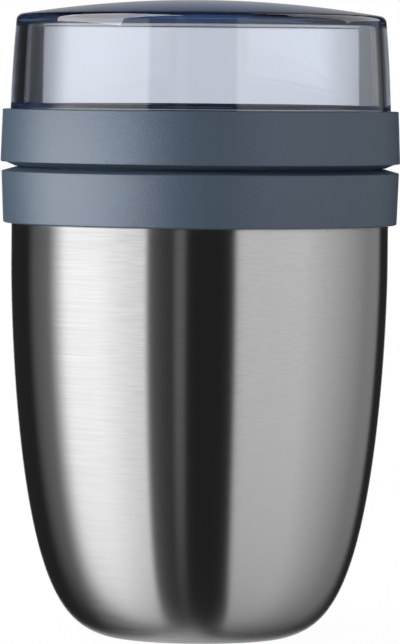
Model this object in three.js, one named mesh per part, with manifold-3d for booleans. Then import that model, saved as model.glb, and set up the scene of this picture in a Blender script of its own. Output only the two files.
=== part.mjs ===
// Insulated lunch pot, in millimetres, +Z up, with the origin on the table under the middle of the foot.
// A double-walled steel pot carries a snapped-on collar. A hollow screw lid turns into the collar,
// and a clear snack bowl stands upside down on the lid and screws into it.

import * as THREE from 'three';
import { mergeVertices } from 'three/addons/utils/BufferGeometryUtils.js';
import Module from 'manifold-3d';

const wasm = await Module();
wasm.setup();

// Fineness of the facets
const FACETS = 40; // round the axis
const SMALL_FACETS = 20; // round the small pieces in the base
const FLANK_STEPS = 9; // up a curved steel flank
const FILLET_STEPS = 2; // along a rounded edge
const BOWL_STEPS = 4; // up the side of the bowl, and across its crown
const RIDGE_STEP = Math.PI / 20; // along a thread ridge

// Fits
const SEAT_GAP = 0.3; // between pieces that rest on each other or sit round each other
const THREAD_GAP = 0.35; // running clearance between two threads
const WELD = 0.3; // how far a thread ridge is sunk into its wall

// Steel outer shell
const SHELL_RADIUS = 50.5;
const SHELL_WALL = 0.6;
const FLANK_HEIGHT = 99.8; // table to the height where the curved flank turns straight
const STRAIGHT_HEIGHT = 10.6; // straight wall above the flank, up to the snap groove
const FLANK_POWER = 1.705; // how early the flank starts to lean in
const CORNER_POWER = 5.69; // how tightly the flank turns under at the foot
const FOOT_RADIUS = 25.6;
const FOOT_WIDTH = 3.5;
const SNAP_GROOVE_DEPTH = 0.75;
const SNAP_GROOVE_HEIGHT = 1.0;
const SNAP_LIP_HEIGHT = 0.8;
const SNAP_LIP_INSET = 0.2;

// Pieces in the base
const CAP_RECESS = 1.7; // table to the ledge over the base cap
const CAP_LEDGE = 3.0;
const CAP_THICKNESS = 0.8;
const BEAD_POCKET = 1.5; // depth of the pocket above the ledge
const EVACUATION_RADIUS = 2.5;
const BEAD_RADIUS = 3.4;
const BEAD_HEIGHT = 0.8;
const GETTER_RADIUS = 4.0;
const GETTER_HEIGHT = 1.6;

// Steel liner
const LINER_WALL = 0.5;
const VACUUM_GAP = 4.5;
const BASE_VACUUM = 4.2; // under the liner
const LINER_FLANGE = 2.6;

// Collar
const COLLAR_OVERHANG = 2.7; // beyond the shell, at its upper edge
const COLLAR_TAPER = 0.5; // narrower at its lower edge
const COLLAR_OVERLAP = 2.1; // down over the shell's top
const COLLAR_LOWER_EDGE = 0.45; // rounding of the lower edge
const COLLAR_UPPER_EDGE = 0.3; // rounding beside the seam and above the side
const COLLAR_UNDERCUT = 0.25; // rise of the underside towards the outer edge
const BEAD_BITE = 0.6; // height of the bead in the snap groove
const GASKET_THICKNESS = 0.7;
const GASKET_WIDTH = 1.5;
const SEAT_SETBACK = 1.2; // seat's edge, back from the mouth
const SEAT_WIDTH = 2.8;
const SEAT_THICKNESS = 1.2;
const SEAM_LAND = 0.7;
const COLLAR_CHAMFER = 1.0; // drop from the seam to the outer edge

// Threads
const THREAD_STARTS = 4;
const THREAD_PITCH = 4.0;
const THREAD_DEPTH = 1.1; // ridges of the lid and the collar
const BOWL_THREAD_DEPTH = 0.95; // ridges of the bowl and the tray
const RIDGE_ROOT = 1.5;
const RIDGE_CREST = 0.8;
const RIDGE_RUNOUT = 0.15; // angle over which a ridge fades at each end
const RIDGE_MARGIN = 0.25; // between a ridge's root and the end of its wall

// Lid
const POT_SEAL_THICKNESS = 1.2;
const POT_SEAL_WIDTH = 2.0;
const BOSS_LIP = 0.4; // boss below the seal that it holds
const SKIRT_HEIGHT = 8.1; // plug's bottom to the seam
const PLUG_WALL = 2.0;
const PLUG_FLOOR = 1.8;
const PLUG_FLANGE = 2.0;
const LID_STEP = 0.3; // lid's widest radius beyond the collar's
const LID_TAPER = 0.55;
const LID_RING_HEIGHT = 15.2; // seam to the top face
const LID_CHAMFER = 1.15; // rise from the seam to the lower edge
const LID_LIP = 1.2; // flat under the lower edge
const LID_EDGE = 0.3; // rounding of the ring's edges
const TRAY_FLOOR = 2.2;
const BOWL_SEAL_THICKNESS = 1.2;
const BOWL_SEAL_GROOVE = 0.6;
const BOWL_SEAL_WIDTH = 2.3;

// Snack bowl
const RING_LEDGE = 2.0; // top face of the lid's ring left bare round the bowl
const BOWL_PLAY = 0.35; // between the bowl's side and the lid's ring
const NECK_DEPTH = 1.0; // thread neck set back from the bowl's side
const NECK_LENGTH = 5.5; // rim to the top of the lid's ring
const NECK_RELIEF = 0.2; // neck's step below the top of the lid's ring
const RIM_WALL = 2.55; // bowl's side to the bore of its rim
const RIM_SHOULDER = 0.4; // top of the lid's ring to the end of the bore
const RIM_STEP = 1.0; // chamfer from the bore to the thicker wall above
const BOWL_HEIGHT = 29.4; // top of the lid's ring to the crown
const BOWL_DEPTH = 22.6; // top of the lid's ring to the inside corner
const BOWL_TAPER = 1.55;
const BOWL_INNER_TAPER = 1.0;
const BOWL_BULGE = 0.35;
const BOWL_INNER_BULGE = 0.22;
const BOWL_SWELL = 0.5; // share of the side's height where it swells most
const BOWL_INNER_SWELL = 0.8;
const CROWN_RISE = 4.2;
const BOWL_CORNER = 2.8;
const BOWL_INNER_CORNER = 0.5;
const BOWL_ROOF = 3.2;

// Heights and radii that follow from the sizes above
const shellGroove = FLANK_HEIGHT + STRAIGHT_HEIGHT;
const shellTop = shellGroove + SNAP_GROOVE_HEIGHT + SNAP_LIP_HEIGHT;
const grooveRadius = SHELL_RADIUS - SNAP_GROOVE_DEPTH;
const shellLipRadius = SHELL_RADIUS - SNAP_LIP_INSET;
const capRadius = FOOT_RADIUS - FOOT_WIDTH;
const pocketRadius = capRadius - CAP_LEDGE;
const pocketTop = CAP_RECESS + BEAD_POCKET;
const linerRadius = SHELL_RADIUS - SHELL_WALL - VACUUM_GAP;
const linerBottom = pocketTop + SHELL_WALL + BASE_VACUUM;
const linerFoot = FOOT_RADIUS - VACUUM_GAP;
const mouthRadius = linerRadius - LINER_WALL;
const linerTop = shellTop + SEAT_GAP + LINER_WALL;

const collarRadius = SHELL_RADIUS + COLLAR_OVERHANG;
const collarLowerRadius = collarRadius - COLLAR_TAPER;
const collarBottom = shellTop - COLLAR_OVERLAP;
const collarBore = SHELL_RADIUS + SEAT_GAP;
const gasketBottom = linerTop + SEAT_GAP;
const seatBottom = gasketBottom + GASKET_THICKNESS + SEAT_GAP;
const seatTop = seatBottom + SEAT_THICKNESS;
const seatRadius = mouthRadius + SEAT_SETBACK;
const threadBore = seatRadius + SEAT_WIDTH;
const seamRadius = threadBore + SEAM_LAND;

const skirtRadius = threadBore - THREAD_DEPTH - THREAD_GAP;
const potSealBottom = seatTop + SEAT_GAP;
const plugBottom = potSealBottom + POT_SEAL_THICKNESS + SEAT_GAP;
const potSealRadius = skirtRadius - SEAT_GAP;
const bossRadius = potSealRadius - POT_SEAL_WIDTH - SEAT_GAP;
const bossBottom = potSealBottom - BOSS_LIP;
const plugBore = skirtRadius - PLUG_WALL;
const lidBottom = plugBottom + SKIRT_HEIGHT;
const collarTop = lidBottom - SEAT_GAP;
const lidTop = lidBottom + LID_RING_HEIGHT;
const lidRadius = collarRadius + LID_STEP;
const lidTopRadius = lidRadius - LID_TAPER;
const plugFlangeRadius = threadBore - SEAT_GAP;
const trayPocket = threadBore;

const bowlRadius = lidTopRadius - RING_LEDGE;
const socketRadius = bowlRadius + BOWL_PLAY;
const neckRadius = bowlRadius - NECK_DEPTH;
const bowlBore = bowlRadius - RIM_WALL;
const bowlWallRadius = bowlBore - RIM_STEP;
const rimBottom = lidTop - NECK_LENGTH;
const bowlSealBottom = rimBottom - SEAT_GAP - BOWL_SEAL_THICKNESS;
const sealGrooveFloor = bowlSealBottom - SEAT_GAP;
const trayTop = sealGrooveFloor + BOWL_SEAL_GROOVE;
const trayBottom = trayTop - TRAY_FLOOR;
const bowlSealRadius = bowlBore + BOWL_SEAL_WIDTH;
const crownTop = lidTop + BOWL_HEIGHT;

const threadLead = THREAD_STARTS * THREAD_PITCH;

// A point of a profile: distance from the axis, height, and the rounding of the corner there
const at = (r, z, rounding = 0) => ({ point: new THREE.Vector2(r, z), rounding });

// Points of a profile with its corners rounded; a rounding is kept within the walls beside it
function rounded(corners, closed) {
  const points = [];
  corners.forEach((corner, i) => {
    const before = corners[(i + corners.length - 1) % corners.length].point;
    const after = corners[(i + 1) % corners.length].point;
    const isEnd = !closed && (i === 0 || i === corners.length - 1);
    if (corner.rounding === 0 || isEnd) {
      points.push(corner.point);
      return;
    }
    const here = corner.point;
    const back = before.clone().sub(here);
    const ahead = after.clone().sub(here);
    const halfAngle = Math.acos(back.dot(ahead) / (back.length() * ahead.length())) / 2;
    const wanted = corner.rounding / Math.tan(halfAngle);
    const reach = Math.min(wanted, 0.45 * back.length(), 0.45 * ahead.length());
    const start = back.setLength(reach).add(here);
    const end = ahead.setLength(reach).add(here);
    points.push(...new THREE.QuadraticBezierCurve(start, here, end).getPoints(FILLET_STEPS));
  });
  return points;
}

// Welds a geometry's seams and drops the flat triangles at the axis
function welded(geometry) {
  geometry.deleteAttribute('normal');
  geometry.deleteAttribute('uv');
  const merged = mergeVertices(geometry, 1e-4);
  const source = merged.index.array;
  const kept = [];
  for (let i = 0; i < source.length; i += 3) {
    const [a, b, c] = source.slice(i, i + 3);
    if (a !== b && b !== c && c !== a) kept.push(a, b, c);
  }
  merged.setIndex(kept);
  return merged;
}

// Turns a profile round the axis; it runs up on its outer side
function turned(corners, { closed = true, facets = FACETS } = {}) {
  const points = rounded(corners, closed);
  if (closed) points.push(points[0].clone());
  const lathe = new THREE.LatheGeometry(points, facets);
  lathe.rotateX(Math.PI / 2);
  return welded(lathe);
}

// A steel flank from its foot up to where it turns straight
function flank(radius, foot, bottom) {
  const start = (1 - (foot / radius) ** CORNER_POWER) ** (1 / FLANK_POWER);
  const corners = [];
  for (let i = 0; i <= FLANK_STEPS; i += 1) {
    const climbed = (i / FLANK_STEPS) ** 2;
    const lean = (start * (1 - climbed)) ** FLANK_POWER;
    corners.push(at(radius * (1 - lean) ** (1 / CORNER_POWER), bottom + (FLANK_HEIGHT - bottom) * climbed));
  }
  return corners;
}

const toSolid = (geometry) =>
  new wasm.Manifold(
    new wasm.Mesh({
      numProp: 3,
      vertProperties: new Float32Array(geometry.attributes.position.array),
      triVerts: new Uint32Array(geometry.index.array),
    }),
  );

function toGeometry(solid) {
  const mesh = solid.getMesh();
  const geometry = new THREE.BufferGeometry();
  geometry.setAttribute('position', new THREE.BufferAttribute(new Float32Array(mesh.vertProperties), 3));
  geometry.setIndex(new THREE.BufferAttribute(new Uint32Array(mesh.triVerts), 1));
  return geometry;
}

// One thread ridge on a wall: it climbs from one height to another, outwards if reach is positive
function ridge({ wall, reach, from, to, turn }) {
  const side = Math.sign(reach);
  const sweep = (2 * Math.PI * (to - from)) / threadLead;
  const steps = Math.ceil(sweep / RIDGE_STEP);
  const positions = [];
  const index = [];
  for (let i = 0; i <= steps; i += 1) {
    const along = (sweep * i) / steps;
    const angle = turn + along;
    const height = from + (to - from) * (i / steps);
    const full = Math.min(1, along / RIDGE_RUNOUT, (sweep - along) / RIDGE_RUNOUT);
    const root = wall - side * WELD;
    const crest = wall + reach * full;
    const section = [
      [root, height - RIDGE_ROOT / 2],
      [crest, height - RIDGE_CREST / 2],
      [crest, height + RIDGE_CREST / 2],
      [root, height + RIDGE_ROOT / 2],
    ];
    if (side < 0) section.reverse();
    section.forEach(([r, z]) => positions.push(r * Math.cos(angle), r * Math.sin(angle), z));
  }
  for (let i = 0; i < steps; i += 1) {
    for (let k = 0; k < 4; k += 1) {
      const near = 4 * i + k;
      const next = 4 * i + ((k + 1) % 4);
      index.push(near, near + 4, next + 4, near, next + 4, next);
    }
  }
  const last = 4 * steps;
  index.push(0, 1, 2, 0, 2, 3, last, last + 2, last + 1, last, last + 3, last + 2);
  const geometry = new THREE.BufferGeometry();
  geometry.setAttribute('position', new THREE.Float32BufferAttribute(positions, 3));
  geometry.setIndex(index);
  return geometry;
}

// Adds the ridges of a multi-start right-hand thread to a solid
// datum is a height that a ridge passes at angle 0
function threaded(solid, { wall, reach, from, to, datum }) {
  let result = solid;
  for (let k = 0; k < THREAD_STARTS; k += 1) {
    const turn = (2 * Math.PI * (from - datum)) / threadLead + (2 * Math.PI * k) / THREAD_STARTS;
    result = result.add(toSolid(ridge({ wall, reach, from, to, turn })));
  }
  return result;
}

// How far an outside ridge hangs below the inside ridge that it pulls against
const ridgeDrop = (depth, gap) =>
  RIDGE_ROOT - ((RIDGE_ROOT - RIDGE_CREST) / 2) * ((depth + gap) / depth) + gap;

// Materials
const brushedSteel = new THREE.MeshStandardMaterial({ color: 0xb9bcc0, metalness: 1, roughness: 0.32 });
const satinSteel = new THREE.MeshStandardMaterial({ color: 0xc6c8ca, metalness: 1, roughness: 0.4 });
const solder = new THREE.MeshStandardMaterial({ color: 0x8f9398, metalness: 0.6, roughness: 0.5 });
const slatePlastic = new THREE.MeshStandardMaterial({ color: 0x606b7d, metalness: 0, roughness: 0.6 });
const silicone = new THREE.MeshStandardMaterial({ color: 0xdfe3e6, metalness: 0, roughness: 0.75 });
const foam = new THREE.MeshStandardMaterial({ color: 0xf1eee4, metalness: 0, roughness: 0.95 });
const clearPlastic = new THREE.MeshStandardMaterial({
  color: 0xdde3ee,
  metalness: 0,
  roughness: 0.08,
  transparent: true,
  opacity: 0.35,
});

function piece(name, geometry, material) {
  geometry.computeVertexNormals();
  const mesh = new THREE.Mesh(geometry, material);
  mesh.name = name;
  return mesh;
}

// Steel pot
function outerShell() {
  const innerFlank = flank(SHELL_RADIUS - SHELL_WALL, FOOT_RADIUS - SHELL_WALL, SHELL_WALL);
  return turned([
    at(EVACUATION_RADIUS, pocketTop),
    at(pocketRadius, pocketTop),
    at(pocketRadius, CAP_RECESS),
    at(capRadius, CAP_RECESS),
    at(capRadius, 0),
    ...flank(SHELL_RADIUS, FOOT_RADIUS, 0),
    at(SHELL_RADIUS, shellGroove),
    at(grooveRadius, shellGroove),
    at(grooveRadius, shellGroove + SNAP_GROOVE_HEIGHT),
    at(shellLipRadius, shellGroove + SNAP_GROOVE_HEIGHT),
    at(shellLipRadius, shellTop),
    at(linerRadius + SEAT_GAP, shellTop),
    at(linerRadius + SEAT_GAP, shellTop - SHELL_WALL),
    at(grooveRadius - SHELL_WALL, shellTop - SHELL_WALL),
    at(grooveRadius - SHELL_WALL, shellGroove - SHELL_WALL),
    at(SHELL_RADIUS - SHELL_WALL, shellGroove - SHELL_WALL),
    ...innerFlank.reverse(),
    at(capRadius + SHELL_WALL, SHELL_WALL),
    at(capRadius + SHELL_WALL, CAP_RECESS + SHELL_WALL),
    at(pocketRadius + SHELL_WALL, CAP_RECESS + SHELL_WALL),
    at(pocketRadius + SHELL_WALL, pocketTop + SHELL_WALL),
    at(EVACUATION_RADIUS, pocketTop + SHELL_WALL),
  ]);
}

function innerLiner() {
  const outside = flank(linerRadius, linerFoot, linerBottom);
  const inside = flank(mouthRadius, linerFoot - LINER_WALL, linerBottom + LINER_WALL);
  return turned(
    [
      at(0, linerBottom),
      ...outside,
      at(linerRadius, linerTop - LINER_WALL),
      at(linerRadius + LINER_FLANGE, linerTop - LINER_WALL),
      at(linerRadius + LINER_FLANGE, linerTop),
      at(mouthRadius, linerTop, 2 * LINER_WALL),
      ...inside.reverse(),
      at(0, linerBottom + LINER_WALL),
    ],
    { closed: false },
  );
}

function baseCap() {
  const top = CAP_RECESS - SEAT_GAP;
  const radius = capRadius - SEAT_GAP;
  return turned([at(0, top - CAP_THICKNESS), at(radius, top - CAP_THICKNESS), at(radius, top), at(0, top)], {
    closed: false,
  });
}

function vacuumSeal() {
  const headTop = pocketTop - SEAT_GAP;
  const stemRadius = EVACUATION_RADIUS - SEAT_GAP;
  const stemTop = pocketTop + SHELL_WALL + SEAT_GAP;
  return turned(
    [
      at(0, headTop - BEAD_HEIGHT),
      at(BEAD_RADIUS, headTop - BEAD_HEIGHT, BEAD_HEIGHT / 2),
      at(BEAD_RADIUS, headTop),
      at(stemRadius, headTop),
      at(stemRadius, stemTop),
      at(0, stemTop),
    ],
    { closed: false, facets: SMALL_FACETS },
  );
}

function getter() {
  const bottom = pocketTop + SHELL_WALL + SEAT_GAP;
  const top = bottom + GETTER_HEIGHT;
  const geometry = turned(
    [at(0, bottom), at(GETTER_RADIUS, bottom), at(GETTER_RADIUS, top, GETTER_HEIGHT / 3), at(0, top)],
    { closed: false, facets: SMALL_FACETS },
  );
  return geometry.translate((EVACUATION_RADIUS + pocketRadius) / 2, 0, 0);
}

// Collar
const lidThreadDrop = ridgeDrop(THREAD_DEPTH, THREAD_GAP);
const lidThreadBottom = plugBottom + RIDGE_MARGIN + RIDGE_ROOT / 2;
const lidThreadTop = collarTop - RIDGE_MARGIN - RIDGE_ROOT / 2;

function collarRing() {
  const bead = grooveRadius + SEAT_GAP;
  const beadMiddle = shellGroove + SNAP_GROOVE_HEIGHT / 2;
  const body = turned([
    at(collarBore, collarBottom),
    at(collarLowerRadius, collarBottom + COLLAR_UNDERCUT, COLLAR_LOWER_EDGE),
    at(collarRadius, collarTop - COLLAR_CHAMFER, COLLAR_UPPER_EDGE),
    at(seamRadius, collarTop, COLLAR_UPPER_EDGE),
    at(threadBore, collarTop),
    at(threadBore, seatTop),
    at(seatRadius, seatTop),
    at(seatRadius, seatBottom),
    at(collarBore, seatBottom),
    at(collarBore, beadMiddle + BEAD_BITE / 2),
    at(bead, beadMiddle + BEAD_BITE / 4),
    at(bead, beadMiddle - BEAD_BITE / 4),
    at(collarBore, beadMiddle - BEAD_BITE / 2),
  ]);
  const solid = threaded(toSolid(body), {
    wall: threadBore,
    reach: -THREAD_DEPTH,
    from: lidThreadBottom + lidThreadDrop,
    to: lidThreadTop,
    datum: lidThreadTop,
  });
  return toGeometry(solid);
}

function collarGasket() {
  const inner = seatRadius;
  const outer = inner + GASKET_WIDTH;
  const top = gasketBottom + GASKET_THICKNESS;
  return turned([at(inner, gasketBottom), at(outer, gasketBottom), at(outer, top), at(inner, top)]);
}

// Lid
function potSeal() {
  const inner = bossRadius + SEAT_GAP;
  const top = potSealBottom + POT_SEAL_THICKNESS;
  const edge = POT_SEAL_THICKNESS / 3;
  return turned([
    at(inner, potSealBottom),
    at(potSealRadius, potSealBottom, edge),
    at(potSealRadius, top, edge),
    at(inner, top),
  ]);
}

function lidPlug() {
  const floorTop = plugBottom + PLUG_FLOOR;
  const flangeTop = trayBottom - SEAT_GAP;
  const body = turned(
    [
      at(0, bossBottom),
      at(bossRadius, bossBottom),
      at(bossRadius, plugBottom),
      at(skirtRadius, plugBottom),
      at(skirtRadius, flangeTop - PLUG_FLANGE),
      at(plugFlangeRadius, flangeTop - PLUG_FLANGE),
      at(plugFlangeRadius, flangeTop),
      at(plugBore, flangeTop),
      at(plugBore, floorTop, PLUG_WALL / 2),
      at(0, floorTop),
    ],
    { closed: false },
  );
  const solid = threaded(toSolid(body), {
    wall: skirtRadius,
    reach: THREAD_DEPTH,
    from: lidThreadBottom,
    to: lidThreadTop - lidThreadDrop,
    datum: lidThreadTop - lidThreadDrop,
  });
  return toGeometry(solid);
}

function lidInsulation() {
  const radius = plugBore - SEAT_GAP;
  const bottom = plugBottom + PLUG_FLOOR + SEAT_GAP;
  const top = trayBottom - 2 * SEAT_GAP;
  const corners = [at(0, bottom), at(radius, bottom, PLUG_WALL), at(radius, top), at(0, top)];
  return turned(corners, { closed: false });
}

const bowlThreadDrop = ridgeDrop(BOWL_THREAD_DEPTH, THREAD_GAP);
const bowlThreadBottom = rimBottom + RIDGE_MARGIN + RIDGE_ROOT / 2;
const bowlThreadTop = lidTop - NECK_RELIEF - RIDGE_MARGIN - RIDGE_ROOT / 2;

function lidTray() {
  const edge = lidBottom + LID_CHAMFER;
  const body = turned(
    [
      at(0, trayBottom),
      at(trayPocket, trayBottom),
      at(trayPocket, lidBottom),
      at(seamRadius, lidBottom),
      at(lidRadius - LID_LIP, edge),
      at(lidRadius, edge, LID_EDGE),
      at(lidTopRadius, lidTop, LID_EDGE),
      at(socketRadius, lidTop),
      at(socketRadius, sealGrooveFloor),
      at(bowlBore - SEAT_GAP, sealGrooveFloor),
      at(bowlBore - SEAT_GAP, trayTop),
      at(0, trayTop),
    ],
    { closed: false },
  );
  const solid = threaded(toSolid(body), {
    wall: socketRadius,
    reach: neckRadius + THREAD_GAP - socketRadius,
    from: bowlThreadBottom + bowlThreadDrop,
    to: bowlThreadTop,
    datum: bowlThreadTop,
  });
  return toGeometry(solid);
}

// Snack bowl
function bowlSeal() {
  const top = bowlSealBottom + BOWL_SEAL_THICKNESS;
  const edge = BOWL_SEAL_THICKNESS / 3;
  return turned([
    at(bowlBore, bowlSealBottom),
    at(bowlSealRadius, bowlSealBottom),
    at(bowlSealRadius, top, edge),
    at(bowlBore, top, edge),
  ]);
}

// One side of the bowl, from its foot to its corner and over its crown
function bowlSide(foot, corner, { bulge, swellAt, rounding, apex }) {
  const swell = foot.clone().lerp(corner, swellAt);
  swell.x += bulge;
  const side = new THREE.QuadraticBezierCurve(foot, swell, corner).getPoints(BOWL_STEPS);
  const corners = side.map((p, i) => at(p.x, p.y, i === BOWL_STEPS ? rounding : 0));
  for (let i = 1; i <= BOWL_STEPS; i += 1) {
    const out = 1 - i / BOWL_STEPS;
    corners.push(at(corner.x * out, corner.y + (apex - corner.y) * (1 - out ** 2)));
  }
  return corners;
}

function snackBowl() {
  const neckTop = lidTop - NECK_RELIEF;
  const boreTop = lidTop + RIM_SHOULDER;
  const outside = bowlSide(
    new THREE.Vector2(bowlRadius, lidTop),
    new THREE.Vector2(bowlRadius - BOWL_TAPER, crownTop - CROWN_RISE),
    { bulge: BOWL_BULGE, swellAt: BOWL_SWELL, rounding: BOWL_CORNER, apex: crownTop },
  );
  const inside = bowlSide(
    new THREE.Vector2(bowlWallRadius, boreTop + RIM_STEP),
    new THREE.Vector2(bowlWallRadius - BOWL_INNER_TAPER, lidTop + BOWL_DEPTH),
    {
      bulge: BOWL_INNER_BULGE,
      swellAt: BOWL_INNER_SWELL,
      rounding: BOWL_INNER_CORNER,
      apex: crownTop - BOWL_ROOF,
    },
  );
  const body = turned(
    [
      ...inside.reverse(),
      at(bowlBore, boreTop),
      at(bowlBore, rimBottom),
      at(neckRadius, rimBottom),
      at(neckRadius, neckTop),
      at(bowlRadius, neckTop),
      ...outside,
    ],
    { closed: false },
  );
  const solid = threaded(toSolid(body), {
    wall: neckRadius,
    reach: BOWL_THREAD_DEPTH,
    from: bowlThreadBottom,
    to: bowlThreadTop - bowlThreadDrop,
    datum: bowlThreadTop - bowlThreadDrop,
  });
  return toGeometry(solid);
}

function assembly(name, ...parts) {
  const group = new THREE.Group();
  group.name = name;
  group.add(...parts);
  return group;
}

export default assembly(
  'lunch_pot',
  assembly(
    'steel_pot',
    piece('outer_shell', outerShell(), brushedSteel),
    piece('inner_liner', innerLiner(), satinSteel),
    piece('base_cap', baseCap(), brushedSteel),
    piece('vacuum_seal', vacuumSeal(), solder),
    piece('getter', getter(), solder),
    piece('collar_ring', collarRing(), slatePlastic),
    piece('collar_gasket', collarGasket(), silicone),
  ),
  assembly(
    'screw_lid',
    piece('pot_seal', potSeal(), silicone),
    piece('lid_plug', lidPlug(), slatePlastic),
    piece('lid_insulation', lidInsulation(), foam),
    piece('lid_tray', lidTray(), slatePlastic),
  ),
  assembly(
    'snack_top',
    piece('bowl_seal', bowlSeal(), silicone),
    piece('snack_bowl', snackBowl(), clearPlastic),
  ),
);
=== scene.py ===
"""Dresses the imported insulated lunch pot: turned pieces, finishes, studio light and camera.

Sizes are in millimetres until a mesh is made. Blender's objects are in metres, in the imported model's frame.
"""

from __future__ import annotations

import logging
import math
from dataclasses import dataclass, field
from enum import Enum
from typing import Any, Mapping, NamedTuple, Sequence

import bpy
from bpy.types import Material, Node, NodeSocket, NodeTree, Object
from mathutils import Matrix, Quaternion, Vector

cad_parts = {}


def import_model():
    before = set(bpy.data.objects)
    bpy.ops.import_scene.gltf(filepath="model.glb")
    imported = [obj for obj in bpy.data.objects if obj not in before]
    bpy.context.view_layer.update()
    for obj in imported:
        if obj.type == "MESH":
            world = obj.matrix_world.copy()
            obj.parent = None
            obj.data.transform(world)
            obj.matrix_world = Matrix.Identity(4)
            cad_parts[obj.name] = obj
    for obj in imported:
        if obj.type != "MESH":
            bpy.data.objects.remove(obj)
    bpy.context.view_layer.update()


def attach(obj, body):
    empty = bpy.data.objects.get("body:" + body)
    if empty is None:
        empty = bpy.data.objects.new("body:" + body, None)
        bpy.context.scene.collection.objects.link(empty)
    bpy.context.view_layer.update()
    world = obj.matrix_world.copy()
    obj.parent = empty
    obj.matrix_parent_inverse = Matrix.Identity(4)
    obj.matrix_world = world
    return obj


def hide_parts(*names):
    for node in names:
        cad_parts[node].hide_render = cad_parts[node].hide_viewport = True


LOG = logging.getLogger("lunch_pot")

MM = 0.001
FACETS = 192  # round the axis
ARC_STEP = math.radians(12)  # along a rounded edge
ARC_SHARE = 0.48  # most of a side that one rounding takes up
FLANK_ROWS = 72  # up a curved flank
FLANK_CROWDING = 2.4  # power that crowds them at its foot
THREAD_ROW = 0.11  # mm between rows of a threaded wall
SHARP = math.radians(38)  # an edge turning more than this stays crisp
ON_WALL = 0.004 * MM  # how near a point lies to the wall that is formed
NOISE_SPAN = (0.3, 0.7)  # nearly all of a noise lies between these
TINT, LIGHT, DARK, TINTED = 0, 6, 7, 2  # sockets of a Mix node set to colours
IMAGE_HEIGHT = 644


class Body(Enum):
    """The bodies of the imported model."""

    POT = "pot"
    POT_SEAL = "pot_seal_ring"
    LID = "lid"
    BOWL_SEAL = "bowl_seal_ring"
    BOWL = "bowl"


class Slot(Enum):
    """The record's material slots."""

    BRUSHED_STEEL = "brushed_steel"
    LINER_STEEL = "liner_steel"
    SOLDER = "solder"
    SLATE_PLASTIC = "slate_plastic"
    SILICONE = "silicone"
    FOAM = "foam"
    CLEAR_PLASTIC = "clear_plastic"


def linear(hex_colour: str) -> tuple[float, float, float, float]:
    """Turns an sRGB hex colour into linear light.

    Args:
        hex_colour: Six hex digits after a hash sign.

    Returns:
        Red, green, blue and an alpha of 1.
    """
    shares = [int(hex_colour[i : i + 2], 16) / 255 for i in (1, 3, 5)]
    light = [s / 12.92 if s <= 0.04045 else ((s + 0.055) / 1.055) ** 2.4 for s in shares]
    return (light[0], light[1], light[2], 1.0)


def add_node(
    tree: NodeTree, kind: str, inputs: Sequence[Any] | dict[str | int, Any] = (), **settings: Any
) -> Node:
    """Adds a node with its settings and its inputs.

    Args:
        tree: The node tree to add to.
        kind: Blender's name for the node's type.
        inputs: Values for its sockets, or nodes or sockets to link from, in order or by socket.
        **settings: The node's own properties.

    Returns:
        The new node.
    """
    node = tree.nodes.new(kind)
    for name, value in settings.items():
        setattr(node, name, value)
    for key, value in inputs.items() if isinstance(inputs, dict) else enumerate(inputs):
        if isinstance(value, Node):
            value = value.outputs[0]
        if isinstance(value, NodeSocket):
            tree.links.new(value, node.inputs[key])
        else:
            node.inputs[key].default_value = value
    return node


@dataclass(frozen=True)
class Finish:
    """A finish that pieces share: its name, its colour and its gloss."""

    title: str
    colour: str
    roughness: float

    def material(self) -> Material:
        """Makes the finish's material once.

        Returns:
            The material, from an earlier call where there was one.
        """
        made = bpy.data.materials.get(self.title)
        if made is None:
            made = bpy.data.materials.new(self.title)
            made.use_nodes = True
            made.node_tree.nodes.clear()
            add_node(made.node_tree, "ShaderNodeOutputMaterial", self.shade(made.node_tree))
        return made

    def darker(self, share: float) -> tuple[float, float, float, float]:
        """The finish's colour with only a share of its light."""
        red, green, blue, alpha = linear(self.colour)
        return (share * red, share * green, share * blue, alpha)

    def shade(self, tree: NodeTree) -> dict[str, Node]:
        """Builds the finish's shader.

        Args:
            tree: The material's empty node tree.

        Returns:
            What goes into the material's output, by socket.
        """
        raise NotImplementedError


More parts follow.
